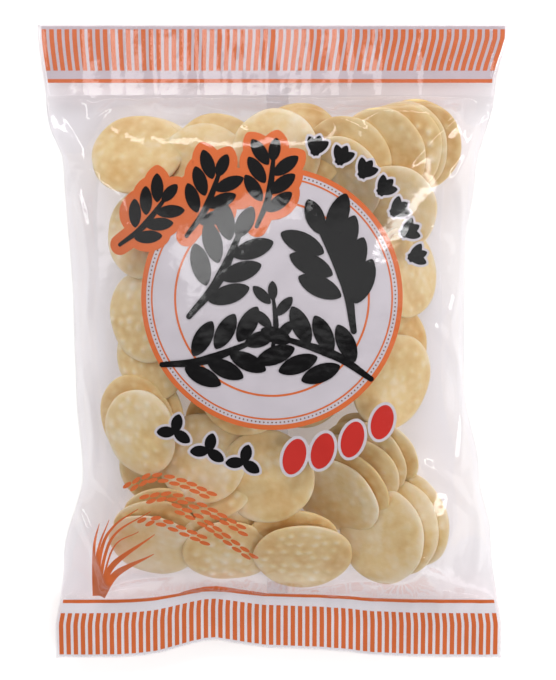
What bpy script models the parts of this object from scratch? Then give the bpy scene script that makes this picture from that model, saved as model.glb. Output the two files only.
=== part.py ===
"""Clear sealed pillow bag of round rice crackers, lying face up: one closed solid.

Run with: blender --background --python part.py
Lengths in the constants are millimetres; the model is in metres. +Z is up, the bag's
top seal points to +Y, and the origin is under the middle of the bag, at floor level.
"""

import math

import bmesh
import bpy

MM = 0.001

# Ends of the bag and of the bulging body between the two heat seals.
TOP_Y = 178.0
BOTTOM_Y = -178.0
BODY_TOP_Y = 138.0
BODY_BOTTOM_Y = -143.0

# Side edges as (y, x) stations: wide at the seals, drawn in at the waist by the filling.
LEFT_EDGE = (
    (178.0, -130.5), (130.0, -126.0), (104.0, -117.5), (28.0, -113.7),
    (-28.0, -113.0), (-70.0, -110.0), (-118.0, -121.7), (-178.0, -130.0),
)
RIGHT_EDGE = (
    (178.0, 126.5), (146.0, 119.0), (96.0, 108.5), (60.0, 103.8),
    (-20.0, 104.5), (-71.0, 114.0), (-107.0, 121.4), (-178.0, 130.5),
)

# The lower seal is drawn up in two shallow waves: (x, half width, rise).
LOWER_WAVES = ((-40.0, 26.0, 9.0), (10.0, 45.0, 5.0))

# Heights.
SEAL_HEIGHT = 14.0
SEAL_THICKNESS = 1.0
FRONT_HEIGHT = 47.0
SAG = 12.0
LUMP = 1.5

# Fullness of the rounded sides and ends: higher is squarer.
SIDE_FULLNESS = 2.6
END_FULLNESS = 4.0

# Quads across and along each face of the bag.
ACROSS = 40
ALONG = 52

FILM_COLOR = (0.83, 0.78, 0.72, 1.0)


def smooth_between(stations, y):
    """The edge position at y, eased between neighbouring stations."""
    if y >= stations[0][0]:
        return stations[0][1]
    for (upper_y, upper_x), (lower_y, lower_x) in zip(stations, stations[1:]):
        if y >= lower_y:
            share = (upper_y - y) / (upper_y - lower_y)
            eased = share * share * (3.0 - 2.0 * share)
            return upper_x + (lower_x - upper_x) * eased
    return stations[-1][1]


def wave_rise(x, y):
    """How far the lower seal is drawn up at x, fading out into the body."""
    reach = min(1.0, max(0.0, (BODY_BOTTOM_Y + 25.0 - y) / 40.0))
    rises = [rise * math.exp(-(((x - middle) / width) ** 2)) for middle, width, rise in LOWER_WAVES]
    return reach * sum(rises)


def fullness(across, y):
    """0 at the edges and on the seals, 1 over the middle of the filled body."""
    middle = (BODY_TOP_Y + BODY_BOTTOM_Y) / 2.0
    along = (y - middle) / ((BODY_TOP_Y - BODY_BOTTOM_Y) / 2.0)
    if abs(along) >= 1.0:
        return 0.0
    side = max(0.0, 1.0 - abs(across) ** SIDE_FULLNESS)
    end = 1.0 - abs(along) ** END_FULLNESS
    return math.sqrt(side * end)


def lumps(x, y):
    """The unevenness that the stacked crackers give the front."""
    wide = math.sin(x / 15.0 + 0.7) * math.cos(y / 19.0 + 0.4)
    narrow = math.sin(x / 9.0 - y / 13.0)
    return LUMP * (wide + 0.6 * narrow)


def front_height(x, y, across):
    full = fullness(across, y)
    rise = FRONT_HEIGHT - SEAL_HEIGHT - SEAL_THICKNESS / 2.0 + lumps(x, y)
    return SEAL_HEIGHT + SEAL_THICKNESS / 2.0 + rise * full


def back_height(x, y, across):
    """The underside: pressed flat on the floor in the middle, rising to the seals."""
    low = SEAL_HEIGHT - SEAL_THICKNESS / 2.0
    return max(0.0, low - (low + SAG) * fullness(across, y))


def add_face_of_bag(bm, height_at):
    """One face of the bag: a flat grid shaped to the outline and lifted to height_at."""
    grid = bmesh.ops.create_grid(bm, x_segments=ACROSS, y_segments=ALONG, size=1.0)
    for vertex in grid["verts"]:
        across, along = vertex.co.x, vertex.co.y
        y = (TOP_Y + BOTTOM_Y) / 2.0 + along * (TOP_Y - BOTTOM_Y) / 2.0
        left = smooth_between(LEFT_EDGE, y)
        right = smooth_between(RIGHT_EDGE, y)
        x = (left + right) / 2.0 + across * (right - left) / 2.0
        z = height_at(x, y, across)
        vertex.co = (x * MM, (y + wave_rise(x, y)) * MM, z * MM)


def make_bag():
    bm = bmesh.new()
    add_face_of_bag(bm, front_height)
    add_face_of_bag(bm, back_height)
    rim = [edge for edge in bm.edges if edge.is_boundary]
    bmesh.ops.bridge_loops(bm, edges=rim)
    bmesh.ops.recalc_face_normals(bm, faces=bm.faces)
    mesh = bpy.data.meshes.new("cracker_bag")
    bm.to_mesh(mesh)
    bm.free()
    return bpy.data.objects.new("cracker_bag", mesh)


def film_material():
    material = bpy.data.materials.new("clear_film")
    material.use_nodes = True
    shader = material.node_tree.nodes["Principled BSDF"]
    shader.inputs["Base Color"].default_value = FILM_COLOR
    shader.inputs["Roughness"].default_value = 0.2
    return material


def main():
    for obj in list(bpy.data.objects):
        bpy.data.objects.remove(obj, do_unlink=True)
    collection = bpy.data.collections.new("bag_of_rice_crackers")
    bpy.context.scene.collection.children.link(collection)
    bag = make_bag()
    bag.data.materials.append(film_material())
    collection.objects.link(bag)


main()
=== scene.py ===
"""Clear pillow bag of round rice crackers, lying face up on a pale floor.

Lengths are millimetres until a mesh is made. +X is right, +Y is towards the top seal
and +Z is up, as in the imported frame.
"""

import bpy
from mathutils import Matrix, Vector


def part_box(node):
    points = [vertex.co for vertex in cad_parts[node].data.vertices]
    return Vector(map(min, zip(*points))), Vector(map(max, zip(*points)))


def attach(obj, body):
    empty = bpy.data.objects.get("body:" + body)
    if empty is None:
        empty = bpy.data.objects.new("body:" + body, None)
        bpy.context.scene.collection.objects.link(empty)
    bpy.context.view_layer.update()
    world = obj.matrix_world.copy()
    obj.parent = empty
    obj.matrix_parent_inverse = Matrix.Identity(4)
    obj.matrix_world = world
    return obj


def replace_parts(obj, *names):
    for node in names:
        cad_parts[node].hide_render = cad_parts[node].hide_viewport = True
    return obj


bl_info = {
    "name": "Bag of Rice Crackers",
    "version": (1, 0, 0),
    "blender": (4, 5, 0),
    "location": "3D View > Sidebar > Crackers",
    "description": "Builds a clear heat-sealed bag with its print and its crackers",
    "category": "Add Mesh",
}

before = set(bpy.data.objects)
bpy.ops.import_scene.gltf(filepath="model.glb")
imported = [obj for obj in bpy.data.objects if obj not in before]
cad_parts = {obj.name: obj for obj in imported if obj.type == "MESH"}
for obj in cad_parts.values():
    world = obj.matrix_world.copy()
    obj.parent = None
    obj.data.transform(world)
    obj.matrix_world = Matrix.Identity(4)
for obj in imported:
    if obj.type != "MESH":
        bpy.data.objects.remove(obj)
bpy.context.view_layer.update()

import functools
import math

import bpy
import numpy as np
from bpy.props import FloatProperty, FloatVectorProperty, IntProperty, PointerProperty
from mathutils import Matrix, Vector
from mathutils.geometry import delaunay_2d_cdt

MM = 0.001
NODE = "cracker_bag"
LOW, HIGH = (np.array(corner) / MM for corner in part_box(NODE))

# Heights and ends of the filled body, within the solid's box.
SEAL_HEIGHT = 14.0
SEAL_GAP = 0.45
BODY_TOP_Y = HIGH[1] - 40.0
BODY_BOTTOM_Y = LOW[1] + 35.0
FRONT_HEIGHT = HIGH[2] - 1.5
BACK_LIFT = 0.7
SAG = 12.0
SIDE_FULLNESS = 2.6
END_FULLNESS = 4.0
WAVE_FADE_FROM = BODY_BOTTOM_Y + 25.0
WAVE_FADE_OVER = 40.0


# ------------------------------------------------------------------ outline of the bag

def read_rim():
    """The outline of the solid: its left and right edges against y, its lower edge against x."""
    solid = bpy.data.objects[NODE]
    points = np.array([vertex.co for vertex in solid.data.vertices]) / MM
    rows = np.arange(LOW[1] + 20.0, HIGH[1], 7.0)
    left, right = [], []
    for y in rows:
        row = points[np.abs(points[:, 1] - y) < 4.0]
        left.append(row[:, 0].min())
        right.append(row[:, 0].max())
    columns = np.arange(LOW[0] + 4.0, HIGH[0], 7.0)
    lower = [points[np.abs(points[:, 0] - x) < 4.0][:, 1].min() for x in columns]
    return rows, np.array(left), np.array(right), columns, np.array(lower)


ROWS, LEFT, RIGHT, COLUMNS, LOWER = read_rim()


def left_edge(y):
    return np.interp(y, ROWS, LEFT)


def right_edge(y):
    return np.interp(y, ROWS, RIGHT)


def wave_rise(x, y):
    """How far the lower seal is drawn up at x, fading out into the body."""
    reach = np.clip((WAVE_FADE_FROM - y) / WAVE_FADE_OVER, 0.0, 1.0)
    return reach * (np.interp(x, COLUMNS, LOWER) - LOW[1])


def on_bag(across, y):
    """Flat bag coordinates, across from -1 to 1 and y before the seal's wave, as a place."""
    left, right = left_edge(y), right_edge(y)
    x = (left + right) / 2.0 + across * (right - left) / 2.0
    return x, y + wave_rise(x, y)


def fullness(x, y):
    """0 at the edges and on the seals, 1 over the middle of the filled body."""
    flat_y = y - wave_rise(x, y)
    left, right = left_edge(flat_y), right_edge(flat_y)
    across = (2.0 * x - left - right) / (right - left)
    along = (2.0 * flat_y - BODY_TOP_Y - BODY_BOTTOM_Y) / (BODY_TOP_Y - BODY_BOTTOM_Y)
    side = np.clip(1.0 - np.abs(across) ** SIDE_FULLNESS, 0.0, 1.0)
    end = np.clip(1.0 - np.abs(along) ** END_FULLNESS, 0.0, 1.0)
    return np.sqrt(side * end)


def dome(x, y):
    """The full front of the bag, before it settles on the crackers."""
    return SEAL_HEIGHT + SEAL_GAP + (FRONT_HEIGHT - SEAL_HEIGHT) * fullness(x, y)


def back(x, y):
    """The back of the bag, pressed flat in the middle."""
    low = SEAL_HEIGHT - SEAL_GAP
    return np.maximum(BACK_LIFT, low - (low + SAG) * fullness(x, y))


# ------------------------------------------------------------------ settings

def color(name, description, default):
    """A colour setting."""
    return FloatVectorProperty(
        name=name, description=description, subtype="COLOR", default=default, min=0.0, max=1.0)


def number(name, description, default, **limits):
    """A plain number setting."""
    return FloatProperty(name=name, description=description, default=default, **limits)


class FilmSettings(bpy.types.PropertyGroup):
    cell: number("Cell", "Size of the film's faces, in millimetres", 1.55, min=0.8)
    clearance: number("Clearance", "Gap between film and crackers, in millimetres", 1.2)
    crease: number("Crease", "Height of the creases against their usual height", 1.35)
    tint: color("Tint", "Colour that light takes through one layer of film", (0.90, 0.888, 0.905))
    haze: number("Haze", "Share of milky white in the film", 0.004, subtype="FACTOR")


class CrackerSettings(bpy.types.PropertyGroup):
    radius: number("Radius", "Radius of a usual cracker, in millimetres", 26.0)
    thickness: number("Thickness", "Thickness of a cracker, in millimetres", 4.2)
    bump: number("Bump", "Height of the puffed bumps, in millimetres", 1.0)
    bump_pitch: number("Bump Pitch", "Distance between bumps, in millimetres", 7.4)
    seed: IntProperty(name="Seed", description="Seed of everything uneven", default=7)
    pale: color("Pale", "Colour of the bumps and edges", (0.95, 0.84, 0.62))
    middle: color("Middle", "Colour of the flat dough", (0.86, 0.66, 0.33))
    golden: color("Golden", "Colour of the browned places", (0.70, 0.40, 0.12))


class PrintSettings(bpy.types.PropertyGroup):
    stripes: IntProperty(name="Stripes", description="Stripes on each seal", default=61)
    stripe_share: number("Stripe Share", "Width of a stripe against its pitch", 0.6, subtype="FACTOR")
    badge_radius: number("Badge Radius", "Outer radius of the round badge, in millimetres", 69.5)
    dots: IntProperty(name="Dots", description="Dots round the badge", default=188)
    orange: color("Orange", "Ink of the lines, ring and plant", (0.80, 0.19, 0.055))
    brown: color("Brown", "Ink of the dots round the badge", (0.22, 0.09, 0.05))
    top_base: color("Top Base", "Tinted white ink on the top seal", (0.70, 0.61, 0.65))
    # The bottom seal's field is painted light: an opaque white that stands in for the lit floor seen
    # through the clear seal.
    bottom_painted_light: color("Bottom Painted Light", "White painted over the bottom seal as the lit floor seen through it", (0.97, 0.95, 0.97))
    white: color("White", "Ink of the badge", (0.72, 0.68, 0.71))
    black: color("Black", "Ink of the bold shapes", (0.004, 0.0035, 0.004))
    red: color("Red", "Ink of the red shapes", (0.66, 0.04, 0.03))


# ------------------------------------------------------------------ placing the crackers

class Disc:
    """One cracker's place: its middle, the way its face looks, its radius, turn and colour."""

    def __init__(self, middle, lean, toward, radius, turn, fine, deeper_tone=0.0):
        self.middle = np.array(middle, float)
        lean, toward = math.radians(lean), math.radians(toward)
        self.normal = np.array([
            math.sin(lean) * math.cos(toward), math.sin(lean) * math.sin(toward), math.cos(lean)])
        self.radius = radius
        self.fine = fine
        self.deeper_tone = deeper_tone
        first = np.cross([0.0, 1.0, 0.0], self.normal)
        first /= np.linalg.norm(first)
        second = np.cross(self.normal, first)
        self.first = first * math.cos(turn) + second * math.sin(turn)
        self.second = np.cross(self.normal, self.first)

    def samples(self):
        """Points over the middle plane, out to the rim."""
        rings = [(0.0, 1), (0.5, 8), (0.97, 18)]
        points = []
        for share, count in rings:
            for step in range(count):
                angle = 2.0 * math.pi * step / count
                spread = math.cos(angle) * self.first + math.sin(angle) * self.second
                points.append(self.middle + share * self.radius * spread)
        return np.array(points)

    def holds(self, points, gap):
        """Whether any of the points is within gap of this disc."""
        away = points - self.middle
        height = away @ self.normal
        across = np.sqrt(np.maximum((away ** 2).sum(axis=1) - height ** 2, 0.0))
        return bool(((np.abs(height) < gap) & (across < self.radius + 0.5)).any())


# Stacks under the front film: (x, y, height of the highest rim, radius, lean, toward) of the
# front cracker, then the steps across the bag to each one behind it.
STACKS = (
    ((-76, 109, 37, 25.0, 30, 95), ((9.5, 0.5), (5, -2))),
    ((-41, 101, 35, 25.5, 18, 95), ((7, 5), (-12, 3))),
    ((-1, 108, 37, 24.5, 16, 80), ((12, 3),)),
    ((32, 92, 33, 25.5, 22, 225), ((5, 12), (19, 4), (8, 2), (4, 1), (8, 3))),
    ((62, 78, 33, 25.0, 22, 225), ()),
    ((72, 43, 41, 24.0, 45, 2), ((-1, -14), (-5, 1), (-6, -1))),
    ((63, -16, 41, 26.5, 30, 350), ((-2, 18), (-2, 4))),
    ((32, -82, 37, 26.3, 38, 225), ((6, 7), (5, 8), (5, 6), (6, 5))),
    ((58, -103, 42, 27.3, 35, 180), ((8, 4.5), (5, 4), (3, 3))),
    ((14, -115, 39, 27.3, 34, 272), ((10, 4), (-6, 7))),
    ((-6, -67, 42, 26.7, 12, 205), ((-17, -8), (8, 5))),
    ((-76, -44, 41, 23.8, 28, 190), ((-3, 7), (7, 3))),
    ((-72, 20, 41, 24.8, 27, 175), ((3, -22), (2, 3))),
    ((-72, 66, 40, 24.8, 26, 165), ((3, 4), (3, 2))),
    ((-70, -109, 36, 25.5, 36, 262), ((2, 8), (6, 4), (6, 1))),
    ((-42, -58, 37, 25.5, 14, 150), ((4, -9),)),
    ((-28, -114, 33, 25.0, 33, 275), ((-3, 6),)),
)
# Every cracker behind the front one of a stack is moved this far up its colour ramp: darker and more
# golden.
DEEPER_TONE_BEHIND = 0.13
FULL_TURN = 6.28
STACK_GAP = 0.5
# The rest are tried at random from the front down to the back. They stay this far from the
# sides, from the top and bottom of the body, from the film and from each other.
FILL_TRIES = 9000
FILL_MARGIN = 18.0
TOP_MARGIN = 4.0
BOTTOM_MARGIN = 8.0
FRONT_MARGIN = 2.0
CRACKER_GAP = 0.4
# A cracker whose middle is over this height has the fine surface.
FINE_ABOVE = 24.0


def depth_under_back(disc, thickness):
    """How far a cracker's lowest point is under the back of the bag, 0 if it is inside."""
    points = disc.samples()
    low = back(points[:, 0], points[:, 1]) + thickness / 2.0
    return max(0.0, float((low - points[:, 2]).max()))


def stack_discs(stack, thickness, rng):
    """The front cracker of a stack and those behind it, each touching the one before."""
    (x, y, top, radius, lean, toward), steps = stack
    height = top - radius * math.sin(math.radians(lean)) - thickness / 2.0
    front = Disc((x, y, height), lean, toward, radius, rng.uniform(0.0, FULL_TURN), True)
    front.middle[2] += depth_under_back(front, thickness)
    discs = [front]
    for step_x, step_y in steps:
        before = discs[-1]
        drop = thickness + STACK_GAP + before.normal[0] * step_x + before.normal[1] * step_y
        middle = before.middle + np.array([step_x, step_y, -drop / before.normal[2]])
        own_lean = lean + rng.uniform(-2.0, 2.0)
        own_radius = radius * rng.uniform(0.97, 1.03)
        own_turn = rng.uniform(0.0, FULL_TURN)
        behind = Disc(middle, own_lean, toward, own_radius, own_turn, True, DEEPER_TONE_BEHIND)
        if depth_under_back(behind, thickness) == 0.0:
            discs.append(behind)
    return discs


def fits(disc, discs, thickness):
    """Whether a cracker lies inside the bag and clear of the others."""
    points = disc.samples()
    flat_y = points[:, 1]
    if (points[:, 0] < left_edge(flat_y) + FILL_MARGIN).any():
        return False
    if (points[:, 0] > right_edge(flat_y) - FILL_MARGIN).any():
        return False
    if (flat_y > BODY_TOP_Y - TOP_MARGIN).any() or (flat_y < BODY_BOTTOM_Y + BOTTOM_MARGIN).any():
        return False
    half = thickness / 2.0 + CRACKER_GAP
    if (points[:, 2] + half > dome(points[:, 0], flat_y) - FRONT_MARGIN).any():
        return False
    if (points[:, 2] - half < back(points[:, 0], flat_y)).any():
        return False
    for other in discs:
        if np.linalg.norm(other.middle - disc.middle) > other.radius + disc.radius:
            continue
        if other.holds(points, thickness) or disc.holds(other.samples(), thickness):
            return False
    return True


@functools.lru_cache(maxsize=1)
def all_discs():
    """Every cracker in the bag: the stacks in front, then the rest wherever there is room."""
    settings = bpy.context.scene.cracker_settings
    rng = np.random.default_rng(settings.seed)
    discs = []
    for stack in STACKS:
        discs.extend(stack_discs(stack, settings.thickness, rng))
    for attempt in range(FILL_TRIES):
        share = attempt / FILL_TRIES
        x = rng.uniform(-100.0, 95.0)
        y = rng.uniform(BODY_BOTTOM_Y + 20.0, BODY_TOP_Y - 18.0)
        z = (FRONT_HEIGHT - 8.0) * (1.0 - share) + rng.uniform(-4.0, 8.0)
        lean = rng.uniform(0.0, 26.0) if share > 0.2 else rng.uniform(0.0, 14.0)
        radius = settings.radius * rng.uniform(0.93, 1.03)
        toward, turn = rng.uniform(0.0, 360.0), rng.uniform(0.0, FULL_TURN)
        disc = Disc((x, y, z), lean, toward, radius, turn, z > FINE_ABOVE)
        if fits(disc, discs, settings.thickness):
            discs.append(disc)
    return tuple(discs)


# ------------------------------------------------------------------ the front film as a height map

class Surface:
    """Heights on an even grid of places, read between them."""

    def __init__(self, step):
        self.step = step
        self.xs = np.arange(LOW[0] - 3.0, HIGH[0] + 3.0 + step, step)
        self.ys = np.arange(LOW[1] - 3.0, HIGH[1] + 3.0 + step, step)
        self.grid_x, self.grid_y = np.meshgrid(self.xs, self.ys)
        self.height = dome(self.grid_x, self.grid_y)

    def at(self, x, y):
        column = np.clip((np.asarray(x) - self.xs[0]) / self.step, 0, len(self.xs) - 1.001)
        row = np.clip((np.asarray(y) - self.ys[0]) / self.step, 0, len(self.ys) - 1.001)
        i, j = column.astype(int), row.astype(int)
        s, t = column - i, row - j
        lower = self.height[j, i] * (1 - s) + self.height[j, i + 1] * s
        upper = self.height[j + 1, i] * (1 - s) + self.height[j + 1, i + 1] * s
        return lower * (1 - t) + upper * t


def cracker_tops(surface, thickness, clearance):
    """The height of the highest cracker under each grid point."""
    tops = np.zeros_like(surface.height)
    for disc in all_discs():
        away_x = surface.grid_x - disc.middle[0]
        away_y = surface.grid_y - disc.middle[1]
        rise = -(disc.normal[0] * away_x + disc.normal[1] * away_y) / disc.normal[2]
        across = np.sqrt(away_x ** 2 + away_y ** 2 + rise ** 2)
        top = disc.middle[2] + rise + thickness / 2.0 + clearance
        tops = np.where(across < disc.radius + 1.0, np.maximum(tops, top), tops)
    return tops


# Creases in the front film: (x, y) of both ends, half width, height.
CREASES = (
    (-116, 101, -98, 99, 1.6, 1.2), (80, -112, 103, -133, 2.2, 1.8), (-108, 84, -104, 22, 2.6, 1.6),
    (-107, -14, -103, -62, 2.4, 1.6), (-114, -88, -97, -128, 3.0, 2.0), (99, 88, 96, 22, 2.6, 1.5),
    (97, 6, 101, -58, 2.4, 1.8), (109, -74, 111, -128, 3.0, 1.6), (-98, 128, -84, 138, 2.0, 1.0),
    (12, 134, 44, 120, 2.4, 1.0), (-40, 134, -18, 124, 2.2, 0.9), (-94, -132, -62, -124, 2.2, 1.4),
    (20, -134, 62, -126, 2.4, 1.2), (-20, -132, -12, -108, 2.2, 1.2), (88, 12, 100, -8, 2.6, 1.4),
    (84, -62, 106, -84, 2.6, 1.6), (-102, -70, -86, -84, 2.2, 1.2), (106, 120, 96, 96, 2.4, 1.4),
)
CREASE_BEND = 0.06
# Sharp folds that taper to a point: (x, y) of the wide end and of the point, half width, slope.
FOLDS = (
    (101, 134, 64, 95, 4.2, 0.40), (-119, 136, -103, 108, 3.6, 0.40), (98, 54, 76, 74, 4.0, 0.35),
)
# Waves that run out of the seals into the body: (wave length, height, offset).
SEAL_WAVES = ((21.0, 0.55, 0.4), (12.5, 0.35, 1.9), (7.7, 0.22, 3.1))
SEAL_WAVE_REACH = 16.0
# The sheet settles in many small steps, with this much spring in each, and is then smoothed.
SETTLE_STEPS = 260
SETTLE_SPRING = 0.004
SMOOTH_STEPS = 3


def along_and_aside(x, y, x0, y0, x1, y1):
    """A line's length, and how far the places lie along it and aside from it."""
    length = math.hypot(x1 - x0, y1 - y0)
    along_x, along_y = (x1 - x0) / length, (y1 - y0) / length
    along = (x - x0) * along_x + (y - y0) * along_y
    aside = (y - y0) * along_x - (x - x0) * along_y
    return length, along, aside


def crease_height(x, y):
    """The sum of the creases at a place."""
    total = np.zeros_like(x)
    for *ends, width, height in CREASES:
        length, along, aside = along_and_aside(x, y, *ends)
        bend = CREASE_BEND * length * np.sin(np.pi * np.clip(along / length, 0.0, 1.0))
        past = np.maximum(np.maximum(-along, along - length), 0.0)
        total += height * np.exp(-((aside - bend) / width) ** 2 - (past / (2.0 * width)) ** 2)
    return total


def fold_height(x, y):
    """The sum of the folds at a place: each has two flat sides that meet in a ridge."""
    total = np.zeros_like(x)
    for *ends, half_width, slope in FOLDS:
        length, along, aside = along_and_aside(x, y, *ends)
        share = np.clip(along / length, 0.0, 1.0)
        own_width = half_width * np.clip(6.0 * share, 0.0, 1.0) * (1.0 - share) ** 0.7
        total += slope * np.maximum(own_width - np.abs(aside), 0.0)
    return total


def seal_wave_height(x, y):
    """Gathers that start at the seals and fade into the body, and a faint wave on the seals."""
    flat_y = y - wave_rise(x, y)
    past_top = np.maximum(BODY_TOP_Y - flat_y, 0.0)
    past_bottom = np.maximum(flat_y - BODY_BOTTOM_Y, 0.0)
    near = np.exp(-past_top / SEAL_WAVE_REACH) + np.exp(-past_bottom / SEAL_WAVE_REACH)
    total = np.zeros_like(x)
    for length, height, offset in SEAL_WAVES:
        total += height * np.sin(2.0 * np.pi * x / length + offset + flat_y / 60.0)
    on_seal = (flat_y > BODY_TOP_Y) | (flat_y < BODY_BOTTOM_Y)
    return total * near * np.where(on_seal, 0.3, 1.0)


def mean_of_neighbours(height):
    """Each grid point's four neighbours, averaged."""
    return (np.roll(height, 1, 0) + np.roll(height, -1, 0)
            + np.roll(height, 1, 1) + np.roll(height, -1, 1)) / 4.0


@functools.lru_cache(maxsize=1)
def front_surface():
    """The front film: a sheet held at its rim that settles on the crackers, then creases."""
    film = bpy.context.scene.film_settings
    surface = Surface(1.5)
    x, y = surface.grid_x, surface.grid_y
    free = fullness(x, y) > 0.05
    tops = cracker_tops(surface, bpy.context.scene.cracker_settings.thickness, film.clearance)
    start = surface.height.copy()
    height = np.maximum(start, np.where(free, tops, 0.0))
    for _ in range(SETTLE_STEPS):
        height = np.where(free, np.maximum(mean_of_neighbours(height) + SETTLE_SPRING, tops), start)
    for _ in range(SMOOTH_STEPS):
        height = np.where(free, mean_of_neighbours(height), start)
    fade = np.clip(fullness(x, y) * 3.0, 0.0, 1.0)
    height = height + film.crease * fade * crease_height(x, y) + fade * fold_height(x, y)
    height = height + film.crease * seal_wave_height(x, y)
    surface.height = np.maximum(height, back(x, y) + 2.0 * SEAL_GAP * 0.9)
    return surface


# ------------------------------------------------------------------ making meshes and pieces

def new_object(name, data):
    """An object for this data, linked to the scene."""
    thing = bpy.data.objects.new(name, data)
    bpy.context.scene.collection.objects.link(thing)
    return thing


def make_piece(name, points, faces, material):
    """A named, smooth mesh piece in metres that rides on the bag."""
    mesh = bpy.data.meshes.new(name)
    mesh.from_pydata((np.asarray(points) * MM).tolist(), [], [tuple(face) for face in faces])
    mesh.materials.append(material)
    mesh.polygons.foreach_set("use_smooth", [True] * len(mesh.polygons))
    mesh.update()
    piece = new_object(name, mesh)
    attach(piece, "root")
    return piece


def set_values(piece, name, values):
    """A number for each point of a piece, for its material to read."""
    piece.data.attributes.new(name, "FLOAT", "POINT").data.foreach_set("value", values)


def grid_faces(columns, rows):
    """Quads of a grid of columns x rows points, numbered row by row."""
    faces = []
    for j in range(rows - 1):
        for i in range(columns - 1):
            a = j * columns + i
            faces.append((a, a + 1, a + columns + 1, a + columns))
    return faces


# ------------------------------------------------------------------ materials

WHITE = (1.0, 1.0, 1.0, 1.0)
# Share of light that both sides of the film together throw back face on.
FACE_ON_SHINE = 0.055
GRAZING_SHINE = 0.7
# Heights of the film's fine relief: the ripples against the folds, then both, in metres.
RIPPLE_SHARE = 0.10
FILM_RELIEF = 0.0026


def new_material(name):
    """A material with an empty tree."""
    material = bpy.data.materials.new(name)
    material.use_nodes = True
    material.node_tree.nodes.clear()
    return material, material.node_tree


def add_node(tree, kind, inputs=(), **settings):
    """A node with its own settings, and with inputs set to values or linked from outputs."""
    node = tree.nodes.new(kind)
    for name, value in settings.items():
        setattr(node, name, value)
    for name, value in dict(inputs).items():
        if isinstance(value, bpy.types.NodeSocket):
            tree.links.new(value, node.inputs[name])
        else:
            node.inputs[name].default_value = value
    return node


def end_material(tree, shader):
    add_node(tree, "ShaderNodeOutputMaterial", {"Surface": shader.outputs[0]})


def noise_value(tree, scale, detail, distortion=0.0, **settings):
    """A noise texture on object coordinates."""
    position = add_node(tree, "ShaderNodeTexCoord").outputs["Object"]
    inputs = {"Vector": position, "Scale": scale, "Detail": detail, "Distortion": distortion}
    return add_node(tree, "ShaderNodeTexNoise", inputs, **settings).outputs["Fac"]


def point_value(tree, name):
    """The number that a piece holds for each point under this name."""
    return add_node(tree, "ShaderNodeAttribute", attribute_name=name).outputs["Fac"]


def math_value(tree, operation, first, second, clamp=False):
    node = add_node(
        tree, "ShaderNodeMath", {0: first, 1: second}, operation=operation, use_clamp=clamp)
    return node.outputs["Value"]


def range_value(tree, value, from_low, from_high, to_low, to_high):
    """A value moved smoothly from one range to another."""
    inputs = {"Value": value, "From Min": from_low, "From Max": from_high,
              "To Min": to_low, "To Max": to_high}
    node = add_node(tree, "ShaderNodeMapRange", inputs, interpolation_type="SMOOTHSTEP")
    return node.outputs["Result"]


def bump_normal(tree, height, strength, distance):
    inputs = {"Height": height, "Strength": strength, "Distance": distance}
    return add_node(tree, "ShaderNodeBump", inputs).outputs["Normal"]


def ramp_color(tree, level, low, high, between=()):
    """A colour for a level: each end and stop is a position and a colour."""
    node = add_node(tree, "ShaderNodeValToRGB", {"Fac": level})
    elements = node.color_ramp.elements
    for element, (position, own) in zip(elements, (low, high)):
        element.position, element.color = position, (*own, 1.0)
    for position, own in between:
        elements.new(position).color = (*own, 1.0)
    return node.outputs["Color"]


def film_material():
    """Clear film: mostly see-through, with sharp reflections and a trace of milky haze."""
    film = bpy.context.scene.film_settings
    material, tree = new_material("clear_film")
    folds = noise_value(tree, 21.0, 0.0, 0.3, noise_type="RIDGED_MULTIFRACTAL")
    slack_folds = math_value(tree, "MULTIPLY", folds, point_value(tree, "slack"))
    ripples = math_value(tree, "MULTIPLY", noise_value(tree, 90.0, 2.0), RIPPLE_SHARE)
    normal = bump_normal(tree, math_value(tree, "ADD", slack_folds, ripples), 1.0, FILM_RELIEF)
    facing = add_node(tree, "ShaderNodeLayerWeight", {"Blend": 0.5, "Normal": normal})
    grazing = math_value(tree, "POWER", facing.outputs["Facing"], 4.0)
    edge_shine = math_value(tree, "MULTIPLY", grazing, GRAZING_SHINE)
    shine = math_value(tree, "ADD", edge_shine, FACE_ON_SHINE, clamp=True)
    haze = math_value(tree, "MULTIPLY", noise_value(tree, 28.0, 2.0), 2.0 * film.haze, clamp=True)
    clear = add_node(tree, "ShaderNodeBsdfTransparent", {"Color": (*film.tint, 1.0)})
    milk = add_node(tree, "ShaderNodeBsdfDiffuse", {"Color": (0.95, 0.95, 0.97, 1.0)})
    gloss = add_node(tree, "ShaderNodeBsdfPrincipled", {
        "Base Color": WHITE, "Metallic": 1.0, "Roughness": 0.08, "Normal": normal})
    hazy = add_node(tree, "ShaderNodeMixShader", {
        "Fac": haze, 1: clear.outputs["BSDF"], 2: milk.outputs["BSDF"]})
    end_material(tree, add_node(tree, "ShaderNodeMixShader", {
        "Fac": shine, 1: hazy.outputs["Shader"], 2: gloss.outputs["BSDF"]}))
    return material


def cracker_material():
    """Baked rice dough: pale bumps and rims, golden flats, from the mesh's own toast values."""
    settings = bpy.context.scene.cracker_settings
    material, tree = new_material("rice_cracker")
    centred = math_value(tree, "SUBTRACT", noise_value(tree, 130.0, 4.0), 0.5)
    mottled = math_value(tree, "MULTIPLY", centred, 0.8)
    level = math_value(tree, "ADD", point_value(tree, "toast"), mottled, clamp=True)
    colors = ramp_color(
        tree, level, (0.05, settings.pale), (1.0, settings.golden), [(0.5, settings.middle)])
    end_material(tree, add_node(tree, "ShaderNodeBsdfPrincipled", {
        "Base Color": colors, "Roughness": 0.55, "Subsurface Weight": 0.12,
        "Subsurface Scale": 0.002,
        "Normal": bump_normal(tree, noise_value(tree, 420.0, 3.0), 0.3, 0.0006)}))
    return material


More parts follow.
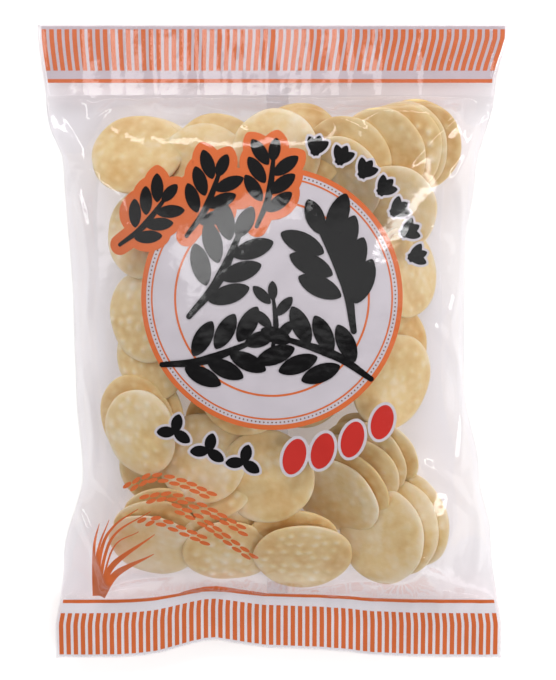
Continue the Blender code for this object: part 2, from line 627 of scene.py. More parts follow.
def ink_material(name, own):
    """Printing ink with a slight unevenness, as it lies under the film."""
    material, tree = new_material(name)
    thin = tuple(0.92 * value for value in own)
    colors = ramp_color(tree, noise_value(tree, 60.0, 3.0), (0.3, thin), (0.7, own))
    end_material(tree, add_node(tree, "ShaderNodeBsdfPrincipled", {
        "Base Color": colors, "Roughness": 0.6, "Specular IOR Level": 0.0}))
    return material


# ------------------------------------------------------------------ cracker meshes

FINE_CELLS = 42
COARSE_CELLS = 14
EDGE_CROWDING = 1.25
MOST_IN_PIECE = 27
# Unevenness of a cracker's outline: (share of the radius, waves round it).
OUTLINE_WAVES = ((0.022, 2.0), (0.012, 3.0), (0.006, 7.0))
# How toasted a flat place is, and how much paler the bumps and the rim are.
FLAT_TOAST = 0.50
BUMP_PALER = 0.54
RIM_PALER = 0.26


def bump_field(x, y, radius, settings, rng):
    """Round puffed bumps in uneven rows, as heights from 0 to 1."""
    pitch = settings.bump_pitch
    field = np.zeros_like(x)
    count = int(radius / pitch) + 1
    for row in range(-count, count + 1):
        for column in range(-count, count + 1):
            middle_x = (column + 0.5 * (row % 2)) * pitch + rng.normal(0.0, 0.9)
            middle_y = row * pitch * 0.8 + rng.normal(0.0, 0.7)
            width = pitch * rng.uniform(0.20, 0.29)
            tall = rng.uniform(0.25, 1.0)
            if math.hypot(middle_x, middle_y) < radius - 0.4 * pitch:
                away = (x - middle_x) ** 2 + (y - middle_y) ** 2
                field = np.maximum(field, tall * np.exp(-away / width ** 2))
    return field


def cracker_mesh(disc, settings, rng):
    """Points, faces and toast values of one cracker, in its place."""
    cells = FINE_CELLS if disc.fine else COARSE_CELLS
    line = np.sin(EDGE_CROWDING * np.linspace(-1.0, 1.0, cells + 1)) / math.sin(EDGE_CROWDING)
    a, b = np.meshgrid(line, line)
    a, b = a.ravel(), b.ravel()
    round_x = a * np.sqrt(1.0 - b ** 2 / 2.0)
    round_y = b * np.sqrt(1.0 - a ** 2 / 2.0)
    share = np.sqrt(round_x ** 2 + round_y ** 2)
    angle = np.arctan2(round_y, round_x)
    phases = rng.uniform(0.0, FULL_TURN, 8)
    outline = 1.0
    for (height, waves), phase in zip(OUTLINE_WAVES, phases):
        outline = outline + height * np.sin(waves * angle + phase)
    x = round_x * disc.radius * outline
    y = round_y * disc.radius * outline
    wall = np.sqrt(np.clip(1.0 - share ** 7, 0.0, 1.0))
    warp = (rng.uniform(-1.6, 1.6) * share ** 2
            + 0.7 * share ** 2 * np.sin(2.0 * angle + phases[3])
            + 0.35 * np.sin(x / 6.5 + phases[4]) * np.sin(y / 7.5 + phases[5]))
    bumps = bump_field(x, y, disc.radius, settings, rng)
    inside = np.clip((1.0 - share) * 8.0, 0.0, 1.0)
    half = settings.thickness / 2.0 - 0.3
    strength = 0.3 + 0.9 * rng.uniform(0.0, 1.0) ** 1.5
    upper = warp + half * wall + settings.bump * strength * bumps * inside
    lower = warp - half * wall - 0.4 * settings.bump * bumps * inside
    own = rng.uniform(-0.16, 0.18)
    patch = 0.14 * np.sin(x / 9.0 + phases[6]) * np.cos(y / 8.0 + phases[7])
    rim = np.clip((share - 0.86) / 0.14, 0.0, 1.0)
    toast = (FLAT_TOAST + disc.deeper_tone + own + patch
             - BUMP_PALER * strength * bumps * inside - RIM_PALER * rim)
    border = [i for i in range(len(a)) if share[i] > 0.9999]
    points = np.concatenate([np.stack([x, y, upper], 1), np.stack([x, y, lower], 1)])
    count = len(a)
    joined = np.arange(2 * count)
    joined[[i + count for i in border]] = border
    top = np.array(grid_faces(cells + 1, cells + 1))
    faces = np.concatenate([top, (top + count)[:, ::-1]])
    faces = joined[faces]
    place = disc.middle + points[:, :1] * disc.first + points[:, 1:2] * disc.second
    place = place + points[:, 2:3] * disc.normal
    used, index = np.unique(faces, return_inverse=True)
    values = np.concatenate([toast, toast + 0.05])
    return place[used], index.reshape(faces.shape), np.clip(values[used], 0.0, 1.0)


def build_crackers():
    """Every cracker, joined into a few pieces."""
    settings = bpy.context.scene.cracker_settings
    rng = np.random.default_rng(settings.seed + 1)
    material = cracker_material()
    discs = sorted(all_discs(), key=lambda disc: not disc.fine)
    for number, first in enumerate(range(0, len(discs), MOST_IN_PIECE), 1):
        points, faces, values, offset = [], [], [], 0
        for disc in discs[first:first + MOST_IN_PIECE]:
            own_points, own_faces, own_values = cracker_mesh(disc, settings, rng)
            points.append(own_points)
            faces.append(own_faces + offset)
            values.append(own_values)
            offset += len(own_points)
        piece = make_piece(
            "crackers_%d" % number, np.concatenate(points), np.concatenate(faces).tolist(),
            material)
        set_values(piece, "toast", np.concatenate(values))


# ------------------------------------------------------------------ film

def build_film():
    """The whole bag as one closed skin: front, back and the rim between them."""
    film = bpy.context.scene.film_settings
    columns = int((HIGH[0] - LOW[0]) / film.cell) + 1
    rows = int((HIGH[1] - LOW[1]) / film.cell) + 1
    across, flat_y = np.meshgrid(
        np.linspace(-1.0, 1.0, columns), np.linspace(LOW[1], HIGH[1], rows))
    across, flat_y = across.ravel(), flat_y.ravel()
    x, y = on_bag(across, flat_y)
    front = front_surface().at(x, y)
    behind = back(x, y)
    edge = np.abs(across) > 0.9999
    edge |= (np.abs(flat_y - LOW[1]) < 0.01) | (np.abs(flat_y - HIGH[1]) < 0.01)
    front = np.where(edge, (front + behind) / 2.0, front)
    count = len(x)
    joined = np.arange(2 * count)
    joined[count:][edge] = np.arange(count)[edge]
    top = np.array(grid_faces(columns, rows))
    faces = joined[np.concatenate([top, (top + count)[:, ::-1]])]
    points = np.concatenate([np.stack([x, y, front], 1), np.stack([x, y, behind], 1)])
    used, index = np.unique(faces, return_inverse=True)
    quads = index.reshape(faces.shape).tolist()
    piece = make_piece("bag_film", points[used], quads, film_material())
    slack = np.clip(1.25 - 1.25 * fullness(points[:, 0], points[:, 1]), 0.0, 1.0)
    set_values(piece, "slack", slack[used])
    return piece


FIN_HALF_WIDTH = 6.0
FIN_DROP = 0.35
FIN_GRID = (9, 230)


def build_back_fin():
    """The seam up the middle of the back, folded flat against it."""
    columns, rows = FIN_GRID
    x, y = np.meshgrid(
        np.linspace(-FIN_HALF_WIDTH, FIN_HALF_WIDTH, columns),
        np.linspace(LOW[1] + 6.0, HIGH[1] - 1.0, rows))
    x, y = x.ravel(), y.ravel()
    z = back(x, y) - FIN_DROP - 0.15 * np.sin(y / 5.0) * x / FIN_HALF_WIDTH
    faces = [face[::-1] for face in grid_faces(columns, rows)]
    clear = bpy.data.materials["clear_film"]
    make_piece("back_fin", np.column_stack([x, y, z]), faces, clear)


# ------------------------------------------------------------------ print

INK_STEP = 0.11
FIRST_INK = 0.16
PRINT_CELL = 1.6
COARSE_CELL = 1.8
RING_CELL = 1.8
STROKE_PITCH = 1.5


def fill_outline(loops, cell=PRINT_CELL):
    """Points and triangles that fill the union of closed outlines."""
    points, edges = [], []
    for loop in loops:
        first = len(points)
        points.extend(Vector(point) for point in loop)
        edges.extend((first + i, first + (i + 1) % len(loop)) for i in range(len(loop)))
    low = np.min([tuple(point) for point in points], axis=0)
    high = np.max([tuple(point) for point in points], axis=0)
    for row, y in enumerate(np.arange(low[1] + 0.3, high[1], cell * 0.87)):
        for x in np.arange(low[0] + 0.3 + (row % 2) * cell / 2.0, high[0], cell):
            points.append(Vector((x, y)))
    found, _, faces, _, _, _ = delaunay_2d_cdt(points, edges, [], 1, 1e-4)
    flat = np.array([tuple(point) for point in found])
    used, index = np.unique(np.array(faces), return_inverse=True)
    index = index.reshape(-1, 3)
    flat = flat[used]
    a, b, c = flat[index[:, 0]], flat[index[:, 1]], flat[index[:, 2]]
    area = (b[:, 0] - a[:, 0]) * (c[:, 1] - a[:, 1]) - (b[:, 1] - a[:, 1]) * (c[:, 0] - a[:, 0])
    index[area < 0] = index[area < 0][:, ::-1]
    return flat, index[np.abs(area) > 1e-5].tolist()


def ring_patch(middle, inner, outer):
    """A flat ring of quads."""
    around = max(48, int(2.0 * math.pi * outer / RING_CELL))
    bands = max(1, int(round((outer - inner) / RING_CELL)))
    points, faces = [], []
    for step in range(around):
        angle = 2.0 * math.pi * step / around
        for band in range(bands + 1):
            radius = inner + (outer - inner) * band / bands
            points.append((middle[0] + radius * math.cos(angle), middle[1] + radius * math.sin(angle)))
    for step in range(around):
        here, there = step * (bands + 1), (step + 1) % around * (bands + 1)
        for band in range(bands):
            faces.append((here + band, here + band + 1, there + band + 1, there + band))
    return np.array(points), faces


def circle_loop(middle, radius, count):
    angles = np.linspace(0.0, 2.0 * np.pi, count, endpoint=False)
    return [(middle[0] + radius * math.cos(t), middle[1] + radius * math.sin(t)) for t in angles]


def grain_loop(middle, length, width, angle, count=22, blunt=0.75):
    """The outline of a rice grain, pointed at both ends."""
    loop = []
    for step in range(count):
        t = 2.0 * math.pi * step / count
        along = 0.5 * length * math.cos(t)
        side = 0.5 * width * math.copysign(abs(math.sin(t)) ** (1.0 / blunt), math.sin(t))
        loop.append((
            middle[0] + along * math.cos(angle) - side * math.sin(angle),
            middle[1] + along * math.sin(angle) + side * math.cos(angle)))
    return loop


def smooth_path(points, pitch):
    """Points about pitch apart on a smooth curve through the given ones."""
    points = np.array(points, float)
    ends = np.vstack([2 * points[0] - points[1], points, 2 * points[-1] - points[-2]])
    path = []
    for i in range(1, len(ends) - 2):
        p0, p1, p2, p3 = ends[i - 1], ends[i], ends[i + 1], ends[i + 2]
        count = max(2, int(np.linalg.norm(p2 - p1) / pitch))
        for t in np.linspace(0.0, 1.0, count, endpoint=False):
            path.append(0.5 * (2 * p1 + (p2 - p0) * t + (2 * p0 - 5 * p1 + 4 * p2 - p3) * t ** 2
                               + (3 * p1 - p0 - 3 * p2 + p3) * t ** 3))
    path.append(ends[-2])
    return np.array(path)


def stroke_loop(points, widths):
    """The outline of a stroke along a smooth path, its widths spread evenly along it."""
    path = smooth_path(points, STROKE_PITCH)
    tangent = np.gradient(path, axis=0)
    tangent /= np.linalg.norm(tangent, axis=1)[:, None]
    side = np.stack([-tangent[:, 1], tangent[:, 0]], 1)
    share = np.linspace(0.0, 1.0, len(path))
    half = 0.5 * np.interp(share, np.linspace(0.0, 1.0, len(widths)), widths)
    right = path - side * half[:, None]
    left = path + side * half[:, None]
    return [tuple(p) for p in right] + [tuple(p) for p in left[::-1]]


def join_patches(patches):
    points, faces, offset = [], [], 0
    for own_points, own_faces in patches:
        points.append(np.asarray(own_points))
        faces.extend(tuple(int(i) + offset for i in face) for face in own_faces)
        offset += len(own_points)
    return np.concatenate(points), faces


def lay_print(name, patches, layer, material):
    """A printed field just under the front film; a higher layer number lies deeper."""
    flat, faces = join_patches(patches)
    depth = FIRST_INK + layer * INK_STEP
    z = front_surface().at(flat[:, 0], flat[:, 1]) - depth
    make_piece(name, np.column_stack([flat, z]), faces, material)


def new_tree(name, sockets):
    """A Geometry Nodes tree with these inputs and an ink, and what comes out of its inputs."""
    tree = bpy.data.node_groups.new(name, "GeometryNodeTree")
    face = tree.interface
    for label, kind, value in sockets:
        face.new_socket(label, in_out="INPUT", socket_type=kind).default_value = value
    face.new_socket("Ink", in_out="INPUT", socket_type="NodeSocketMaterial")
    face.new_socket("Geometry", in_out="OUTPUT", socket_type="NodeSocketGeometry")
    return tree, tree.nodes.new("NodeGroupInput").outputs


def end_tree(tree, where, what, ink):
    """Ends a tree: what is placed on every point of where, realized and inked."""
    place = add_node(tree, "GeometryNodeInstanceOnPoints", {
        "Points": where.outputs["Mesh"], "Instance": what.outputs["Mesh"]})
    real = add_node(tree, "GeometryNodeRealizeInstances", {"Geometry": place.outputs["Instances"]})
    inked = add_node(tree, "GeometryNodeSetMaterial", {
        "Geometry": real.outputs["Geometry"], "Material": ink})
    add_node(tree, "NodeGroupOutput", {"Geometry": inked.outputs["Geometry"]})
    return tree


def stripe_tree():
    """Geometry Nodes: a row of upright bars, evenly spaced."""
    tree, given = new_tree("row_of_bars", (
        ("Count", "NodeSocketInt", 61), ("Pitch", "NodeSocketFloat", 1.0),
        ("Width", "NodeSocketFloat", 0.6), ("Height", "NodeSocketFloat", 20.0),
        ("Rows", "NodeSocketInt", 12),
    ))
    offset = add_node(tree, "ShaderNodeCombineXYZ", {"X": given["Pitch"]})
    line = add_node(tree, "GeometryNodeMeshLine", {
        "Count": given["Count"], "Offset": offset.outputs["Vector"]})
    bar = add_node(tree, "GeometryNodeMeshGrid", {
        "Size X": given["Width"], "Size Y": given["Height"],
        "Vertices X": 3, "Vertices Y": given["Rows"]})
    return end_tree(tree, line, bar, given["Ink"])


def dot_tree():
    """Geometry Nodes: round dots on a circle."""
    tree, given = new_tree("ring_of_dots", (
        ("Count", "NodeSocketInt", 188), ("Radius", "NodeSocketFloat", 60.0),
        ("Dot Radius", "NodeSocketFloat", 0.45),
    ))
    circle = add_node(tree, "GeometryNodeMeshCircle", {
        "Vertices": given["Count"], "Radius": given["Radius"]})
    dot = add_node(tree, "GeometryNodeMeshCircle", {
        "Vertices": 10, "Radius": given["Dot Radius"]}, fill_type="NGON")
    return end_tree(tree, circle, dot, given["Ink"])


def run_tree(tree, values):
    """The flat points and faces that a tree gives for these named inputs."""
    guide = new_object("print_guide", bpy.data.meshes.new("print_guide"))
    modifier = guide.modifiers.new("print", "NODES")
    modifier.node_group = tree
    for item in tree.interface.items_tree:
        if item.in_out == "INPUT" and item.name in values:
            modifier[item.identifier] = values[item.name]
    graph = bpy.context.evaluated_depsgraph_get()
    made = bpy.data.meshes.new_from_object(guide.evaluated_get(graph))
    points = np.array([vertex.co for vertex in made.vertices])
    faces = [tuple(polygon.vertices) for polygon in made.polygons]
    bpy.data.objects.remove(guide, do_unlink=True)
    return points[:, :2], faces


# Print on the seals, before the lower seal's wave: (lowest y, highest y).
TOP_STRIPES = (HIGH[1] - 24.5, HIGH[1] - 2.5)
TOP_LINE = (HIGH[1] - 31.0, HIGH[1] - 29.0)
BOTTOM_STRIPES = (LOW[1] + 2.0, LOW[1] + 26.5)
BOTTOM_LINE = (LOW[1] + 32.5, LOW[1] + 34.4)
SIDE_BARE = 2.2
BACK_PRINT_LIFT = 0.12
BASE_COLUMNS = 150
BASE_ROWS = 22
STRIPE_ROWS = 14


def seal_patch(points, faces, band):
    """Bars laid across a seal: x as a share of the width, y within the band."""
    share, height = points[:, 0], points[:, 1]
    flat_y = band[0] + height * (band[1] - band[0])
    left, right = left_edge(flat_y) + SIDE_BARE, right_edge(flat_y) - SIDE_BARE
    x = left + share * (right - left)
    return np.column_stack([x, flat_y + wave_rise(x, flat_y)]), faces


def base_patch(band, rows):
    """A plain field from side to side."""
    share, height = np.meshgrid(np.linspace(0.0, 1.0, BASE_COLUMNS), np.linspace(0.0, 1.0, rows))
    flat = np.column_stack([share.ravel(), height.ravel()])
    return seal_patch(flat, grid_faces(BASE_COLUMNS, rows), band)


def seal_prints(ink):
    """Stripes and a line for each seal."""
    settings = bpy.context.scene.print_settings
    pitch = 1.0 / (settings.stripes - 1 + settings.stripe_share)
    points, faces = run_tree(stripe_tree(), {
        "Count": settings.stripes, "Pitch": pitch, "Width": pitch * settings.stripe_share,
        "Height": 1.0, "Rows": STRIPE_ROWS, "Ink": ink,
    })
    points = points + np.array([pitch * settings.stripe_share / 2.0, 0.5])
    bands = [seal_patch(points, faces, TOP_STRIPES), seal_patch(points, faces, BOTTOM_STRIPES)]
    return bands + [base_patch(TOP_LINE, 2), base_patch(BOTTOM_LINE, 2)]


def build_seal_print():
    """Stripes and lines on both seals, front and back, over a base field under the front film: tinted
    white on the top seal, and on the bottom seal painted light, an opaque white that stands in for the
    lit floor seen through the clear seal.
    """
    settings = bpy.context.scene.print_settings
    bottom, top = (LOW[1] + 0.8, BOTTOM_LINE[1]), (TOP_LINE[0], HIGH[1] - 0.8)
    # The bottom field is painted light: opaque white that stands in for the lit floor seen through the
    # clear seal.
    for name, band, own in (("top", top, settings.top_base), ("bottom", bottom, settings.bottom_painted_light)):
        ink = ink_material("ink_%s_base" % name, own)
        lay_print("seal_base_" + name, [base_patch(band, BASE_ROWS)], 4, ink)
    ink = ink_material("ink_orange_seal", settings.orange)
    patches = seal_prints(ink)
    lay_print("seal_print_front", patches, 3, ink)
    flat, faces = join_patches(patches)
    z = back(flat[:, 0], flat[:, 1]) + BACK_PRINT_LIFT
    reverse = [face[::-1] for face in faces]
    make_piece("seal_print_back", np.column_stack([flat, z]), reverse, ink)


BADGE = (-2.9, 31.0)
THIN_RING = (50.6, 51.7)


def build_badge():
    """The round badge: white field, orange ring, dotted band and two thin lines."""
    settings = bpy.context.scene.print_settings
    outer = settings.badge_radius
    ring, band, line = outer - 2.7, outer - 5.3, outer - 6.2
    white = ink_material("ink_white", settings.white)
    orange = ink_material("ink_orange", settings.orange)
    brown = ink_material("ink_brown", settings.brown)
    field = fill_outline([circle_loop(BADGE, outer - 1.0, 160)], COARSE_CELL)
    lay_print("badge_field", [field], 4, white)
    widths = ((ring, outer), (line, band), THIN_RING)
    rings = [ring_patch(BADGE, *width) for width in widths]
    dots, faces = run_tree(dot_tree(), {
        "Count": settings.dots, "Radius": (ring + band) / 2.0, "Dot Radius": 0.44, "Ink": brown})
    lay_print("badge_rings", rings, 3, orange)
    lay_print("badge_dots", [(dots + np.array(BADGE), faces)], 3, brown)


# The lobed field at the badge's upper left: (x, y, radius) of the lobes between its sprigs.
LOBES = (
    (-72, 76, 12), (-58, 80, 11), (-52, 82, 10), (-44, 84, 9), (-32, 90, 11), (-20, 88, 10),
    (-12, 92, 10), (2, 92, 9), (-64, 66, 8),
)
LOBE_EDGE = 9.0


def sprig(x, y, size, degrees, grains, edge=0.0):
    """Bold grains on both sides of a short stem: a plain sprig of rice, or its wider edge."""
    angle = math.radians(degrees)
    c, s = math.cos(angle), math.sin(angle)

    def at(along, aside):
        return (x + size * (along * c - aside * s), y + size * (along * s + aside * c))

    widths = [size * share + edge for share in (0.05, 0.09, 0.04)]
    loops = [stroke_loop([at(-0.5, 0.05), at(-0.1, -0.03), at(0.42, 0.0)], widths)]
    loops.append(circle_loop(at(-0.5, 0.05), widths[0] / 2.0, 24))
    loops.append(grain_loop(at(0.46, 0.0), size * 0.30 + edge, size * 0.15 + edge, angle))
    for number in range(grains):
        side = 1.0 if number % 2 else -1.0
        along = -0.22 + 0.56 * number / (grains - 1)
        length, width = size * 0.38 + edge, size * 0.17 + edge
        loops.append(grain_loop(at(along + 0.06, side * 0.17), length, width, angle + side * 0.75))
    return loops


# Bold sprigs on the badge: (x, y, size, angle in degrees, grains).
BOLD_SPRIGS = (
    (-30, 47, 60, 62, 6), (31, 46, 66, 112, 7), (-34, 2, 56, 18, 6), (24, 2, 58, 158, 6),
    (-2, 20, 34, 92, 4),
)
LOBE_SPRIGS = ((-69, 73, 40, 48, 6), (-37, 83, 43, 66, 6), (-5, 90, 43, 80, 6))
# Small marks along the badge's upper right and lower left: (x, y).
ARC_MARKS = ((20, 109), (33, 104), (45, 97), (55, 88), (62, 77), (68, 66), (72, 53))
LOW_MARKS = ((-55, -40), (-37, -50), (-18, -56))
# Red grains below the badge: (x, y, length).
RED_MARKS = ((9, -53, 20), (24, -50, 20), (40, -44, 20), (56, -35, 19))
RED_WIDTH = 12.0
RED_ANGLE = math.radians(74.0)
MARK_EDGE = 1.6


def build_bold_shapes():
    """Black sprigs on the badge and on the lobed field."""
    settings = bpy.context.scene.print_settings
    black = ink_material("ink_black", settings.black)
    orange = bpy.data.materials["ink_orange"]
    lobes = [circle_loop((x, y), radius, 40) for x, y, radius in LOBES]
    for own in LOBE_SPRIGS:
        lobes.extend(sprig(*own, LOBE_EDGE))
    lay_print("lobed_field", [fill_outline(lobes)], 2, orange)
    loops = [sprig(*own) for own in BOLD_SPRIGS + LOBE_SPRIGS]
    lay_print("bold_sprigs", [fill_outline(own, COARSE_CELL) for own in loops], 0, black)


def add_rosette(dark, pale, middle, toward, turns, reach, grain):
    """A few grains that spring from one point, and the same grains with a wider edge."""
    length, width = grain
    inner, outer = [], []
    for turn in turns:
        angle = toward + turn
        place = (middle[0] + reach * math.cos(angle), middle[1] + reach * math.sin(angle))
        inner.append(grain_loop(place, length, width, angle))
        outer.append(grain_loop(place, length + 2.8, width + 2.6, angle))
    dark.append(inner)
    pale.append(outer)


def build_small_marks():
    """Small grains with a white edge round the badge, and red ones below it."""
    settings = bpy.context.scene.print_settings
    white = bpy.data.materials["ink_white"]
    black = bpy.data.materials["ink_black"]
    red = ink_material("ink_red", settings.red)
    dark, pale = [], []
    for x, y in ARC_MARKS:
        outward = math.atan2(y - BADGE[1], x - BADGE[0])
        add_rosette(dark, pale, (x, y), outward, (0.7, 0.0, -0.7), 2.6, (11.6, 5.4))
    for x, y in LOW_MARKS:
        add_rosette(dark, pale, (x, y), math.radians(75.0), (0.0, 1.9, -1.9), 4.7, (10.4, 6.2))

    def red_grains(wider):
        return [[grain_loop((x, y), length + wider, RED_WIDTH + wider, RED_ANGLE, 36, 0.95)]
                for x, y, length in RED_MARKS]

    edges = pale + red_grains(2.0 * MARK_EDGE)
    lay_print("mark_edges", [fill_outline(loops) for loops in edges], 1, white)
    lay_print("dark_marks", [fill_outline(loops) for loops in dark], 0, black)
    lay_print("red_marks", [fill_outline(loops) for loops in red_grains(0.0)], 0, red)


# Rice plant: (path, width at the foot) of each blade, and the path of each ear.
BLADES = (
    (((-104, -141), (-102, -108), (-99, -95)), 3.4), (((-103, -141), (-100, -111), (-93, -92)), 2.4),
    (((-102, -141), (-98, -110), (-90, -95), (-76, -84)), 2.6),
    (((-101, -140), (-96, -113), (-88, -98), (-69, -85)), 2.2),
    (((-101, -140), (-91, -108), (-76, -97)), 1.4), (((-101, -141), (-92, -119), (-67, -98)), 4.2),
    (((-101, -141), (-90, -124), (-68, -110)), 5.0),
)
EARS = (
    ((-84, -74), (-68, -66), (-52, -68), (-36, -75)),
    ((-75, -79), (-57, -76), (-38, -83), (-18, -95)),
    ((-58, -81), (-40, -90), (-14, -111)),
    ((-77, -93), (-66, -90), (-50, -96), (-39, -101)),
)
EAR_GRAIN = (6.2, 2.4)
EAR_PITCH = 2.9


def build_plant():
    """Blades that fan out from one foot, with arching ears of small slanted grains."""
    orange = bpy.data.materials["ink_orange"]
    loops = [[stroke_loop(path, [width, 0.75 * width, 0.4])] for path, width in BLADES]
    for ear in EARS:
        path = smooth_path(ear, EAR_PITCH)
        for step in range(1, len(path)):
            along = path[step] - path[step - 1]
            angle = math.atan2(along[1], along[0])
            side = 1.0 if step % 2 else -1.0
            offset = np.array([-math.sin(angle), math.cos(angle)]) * 1.5 * side
            loops.append([grain_loop(path[step] + offset, *EAR_GRAIN, angle + 0.15, 12, 1.0)])
    lay_print("rice_plant", [fill_outline(own, 2.0) for own in loops], 2, orange)


# ------------------------------------------------------------------ stage

VIEW_DISTANCE = 620.0
VIEW_LEAN = math.radians(6.0)
VIEW_ANGLE = math.radians(34.0)
VIEW_TARGET = Vector((0.25, 6.1, 15.0))


# Area lamps: (name, place, size, power, whether the film mirrors it) in metres and watts.
LAMPS = (
    ("key_lamp", (-0.15, 1.25, 1.05), (1.4, 0.5), 12.0, False),
    ("right_lamp", (0.95, -0.30, 1.10), (0.5, 1.2), 6.5, False),
    ("near_lamp", (0.10, -1.05, 0.95), (1.0, 0.5), 2.6, False),
    ("window_lamp", (-0.20, 0.24, 1.25), (0.66, 0.22), 1.3, True),
    ("far_strip", (0.10, 1.30, 0.75), (1.6, 0.10), 3.0, True),
    ("right_strip", (1.20, 0.25, 0.95), (0.10, 1.5), 4.2, True),
    ("left_strip", (-1.20, 0.35, 0.75), (0.09, 0.9), 2.0, True),
)
FLOOR_HALF = 4.0
FLOOR_LEVEL = -0.0002


def add_lamp(name, place, size, power, mirrored):
    """A white area lamp that faces the bag; one that isn't mirrored leaves no glare on it."""
    lamp = bpy.data.lights.new(name, "AREA")
    lamp.shape = "RECTANGLE"
    lamp.size, lamp.size_y = size
    lamp.energy = power
    thing = new_object(name, lamp)
    thing.location = place
    thing.rotation_euler = (-Vector(place)).to_track_quat("-Z", "Y").to_euler()
    thing.visible_glossy = mirrored


def build_floor():
    material, tree = new_material("pale_floor")
    end_material(tree, add_node(tree, "ShaderNodeBsdfPrincipled", {
        "Base Color": (0.93, 0.93, 0.93, 1.0), "Roughness": 0.9, "Specular IOR Level": 0.0,
        "Emission Color": WHITE, "Emission Strength": 0.30}))
    mesh = bpy.data.meshes.new("floor")
    corners = [(FLOOR_HALF * x, FLOOR_HALF * y, FLOOR_LEVEL)
               for x, y in ((-1, -1), (1, -1), (1, 1), (-1, 1))]
    mesh.from_pydata(corners, [], [(0, 1, 2, 3)])
    mesh.materials.append(material)
    new_object("floor", mesh)


def pale_room():
    """White surroundings: bright at the horizon, dim overhead on the near side."""
    world = bpy.data.worlds.new("pale_room")
    world.use_nodes = True
    tree = world.node_tree
    direction = add_node(tree, "ShaderNodeTexCoord").outputs["Generated"]
    parts = add_node(tree, "ShaderNodeSeparateXYZ", {"Vector": direction}).outputs
    low = range_value(tree, parts["Z"], 0.20, 0.60, 0.62, 0.0)
    overhead = range_value(tree, parts["Y"], -0.13, -0.05, 0.04, 0.60)
    far = range_value(tree, parts["Y"], 0.14, 0.30, 0.60, 0.16)
    level = math_value(tree, "MAXIMUM", low, math_value(tree, "MINIMUM", overhead, far))
    background = tree.nodes["Background"]
    background.inputs["Color"].default_value = WHITE
    tree.links.new(level, background.inputs["Strength"])
    return world


def build_stage():
    """Floor, lamps, pale surroundings and the camera."""
    scene = bpy.context.scene
    build_floor()
    for lamp in LAMPS:
        add_lamp(*lamp)
    scene.world = pale_room()
    camera = bpy.data.cameras.new("camera")
    camera.sensor_fit = "VERTICAL"
    camera.angle = VIEW_ANGLE
    camera.clip_start = 0.01
    thing = new_object("camera", camera)
    back_off = Vector((0.0, math.sin(VIEW_LEAN), math.cos(VIEW_LEAN)))
    right = Vector((1.0, 0.0, 0.0))
    up = back_off.cross(right)
    turn = Matrix((right, up, back_off)).transposed().to_4x4()
    turn.translation = (VIEW_TARGET + VIEW_DISTANCE * back_off) * MM
    thing.matrix_world = turn
    scene.camera = thing
    scene.view_settings.view_transform = "Standard"


# ------------------------------------------------------------------ operators and panel

class CRACKERS_OT_add_crackers(bpy.types.Operator):
    """Add every cracker in the bag"""
    bl_idname = "crackers.add_crackers"
    bl_label = "Add Crackers"

    def execute(self, context):
        build_crackers()
        return {"FINISHED"}


class CRACKERS_OT_add_film(bpy.types.Operator):
    """Add the clear film, which stands for the solid bag"""
    bl_idname = "crackers.add_film"
    bl_label = "Add Film"

    def execute(self, context):
        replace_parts(build_film(), NODE)
        build_back_fin()
        return {"FINISHED"}


class CRACKERS_OT_add_seal_print(bpy.types.Operator):
    """Add the stripes and lines on both seals"""
    bl_idname = "crackers.add_seal_print"
    bl_label = "Add Seal Print"

    def execute(self, context):
        build_seal_print()
        return {"FINISHED"}


class CRACKERS_OT_add_badge(bpy.types.Operator):
    """Add the round badge with its rings and dots"""
    bl_idname = "crackers.add_badge"
    bl_label = "Add Badge"

    def execute(self, context):
        build_badge()
        return {"FINISHED"}


class CRACKERS_OT_add_bold_shapes(bpy.types.Operator):
    """Add the lobed field and the bold sprigs"""
    bl_idname = "crackers.add_bold_shapes"
    bl_label = "Add Bold Shapes"

    def execute(self, context):
        build_bold_shapes()
        return {"FINISHED"}


class CRACKERS_OT_add_small_marks(bpy.types.Operator):
    """Add the small marks round the badge"""
    bl_idname = "crackers.add_small_marks"
    bl_label = "Add Small Marks"

    def execute(self, context):
        build_small_marks()
        return {"FINISHED"}


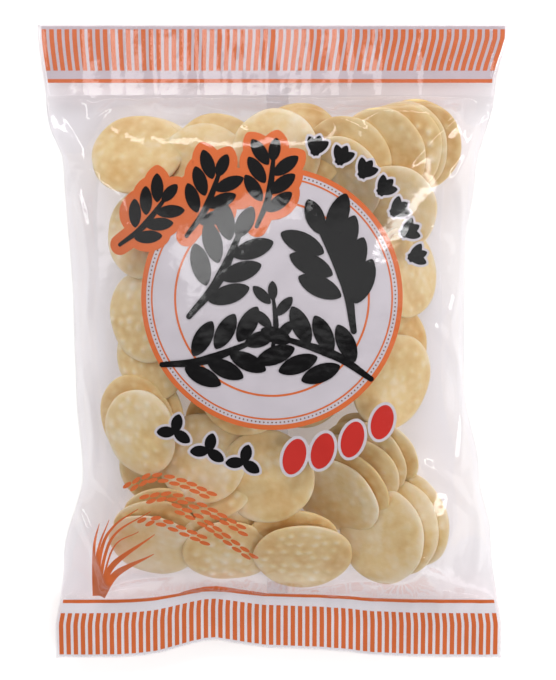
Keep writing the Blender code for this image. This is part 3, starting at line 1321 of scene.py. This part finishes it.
class CRACKERS_OT_add_plant(bpy.types.Operator):
    """Add the rice plant in line work"""
    bl_idname = "crackers.add_plant"
    bl_label = "Add Rice Plant"

    def execute(self, context):
        build_plant()
        return {"FINISHED"}


class CRACKERS_OT_add_stage(bpy.types.Operator):
    """Add the floor, lamps and camera"""
    bl_idname = "crackers.add_stage"
    bl_label = "Add Stage"

    def execute(self, context):
        build_stage()
        return {"FINISHED"}


OPERATORS = (
    CRACKERS_OT_add_crackers, CRACKERS_OT_add_film, CRACKERS_OT_add_seal_print,
    CRACKERS_OT_add_badge, CRACKERS_OT_add_bold_shapes, CRACKERS_OT_add_small_marks,
    CRACKERS_OT_add_plant, CRACKERS_OT_add_stage,
)


class CRACKERS_PT_panel(bpy.types.Panel):
    bl_label = "Bag of Rice Crackers"
    bl_idname = "CRACKERS_PT_panel"
    bl_space_type = "VIEW_3D"
    bl_region_type = "UI"
    bl_category = "Crackers"

    def draw(self, context):
        for group in SETTINGS:
            settings = getattr(context.scene, group)
            for name in settings.bl_rna.properties.keys():
                if name not in ("rna_type", "name"):
                    self.layout.prop(settings, name)
        for operator in OPERATORS:
            self.layout.operator(operator.bl_idname)


SETTINGS = {
    "film_settings": FilmSettings,
    "cracker_settings": CrackerSettings,
    "print_settings": PrintSettings,
}


def register():
    for group in (*SETTINGS.values(), *OPERATORS, CRACKERS_PT_panel):
        bpy.utils.register_class(group)
    for name, group in SETTINGS.items():
        setattr(bpy.types.Scene, name, PointerProperty(type=group))


def unregister():
    for name in SETTINGS:
        delattr(bpy.types.Scene, name)
    for group in (CRACKERS_PT_panel, *reversed(OPERATORS), *reversed(SETTINGS.values())):
        bpy.utils.unregister_class(group)


def main():
    register()
    bpy.ops.crackers.add_crackers()
    bpy.ops.crackers.add_film()
    bpy.ops.crackers.add_seal_print()
    bpy.ops.crackers.add_badge()
    bpy.ops.crackers.add_bold_shapes()
    bpy.ops.crackers.add_small_marks()
    bpy.ops.crackers.add_plant()
    bpy.ops.crackers.add_stage()


if __name__ == "__main__":
    main()
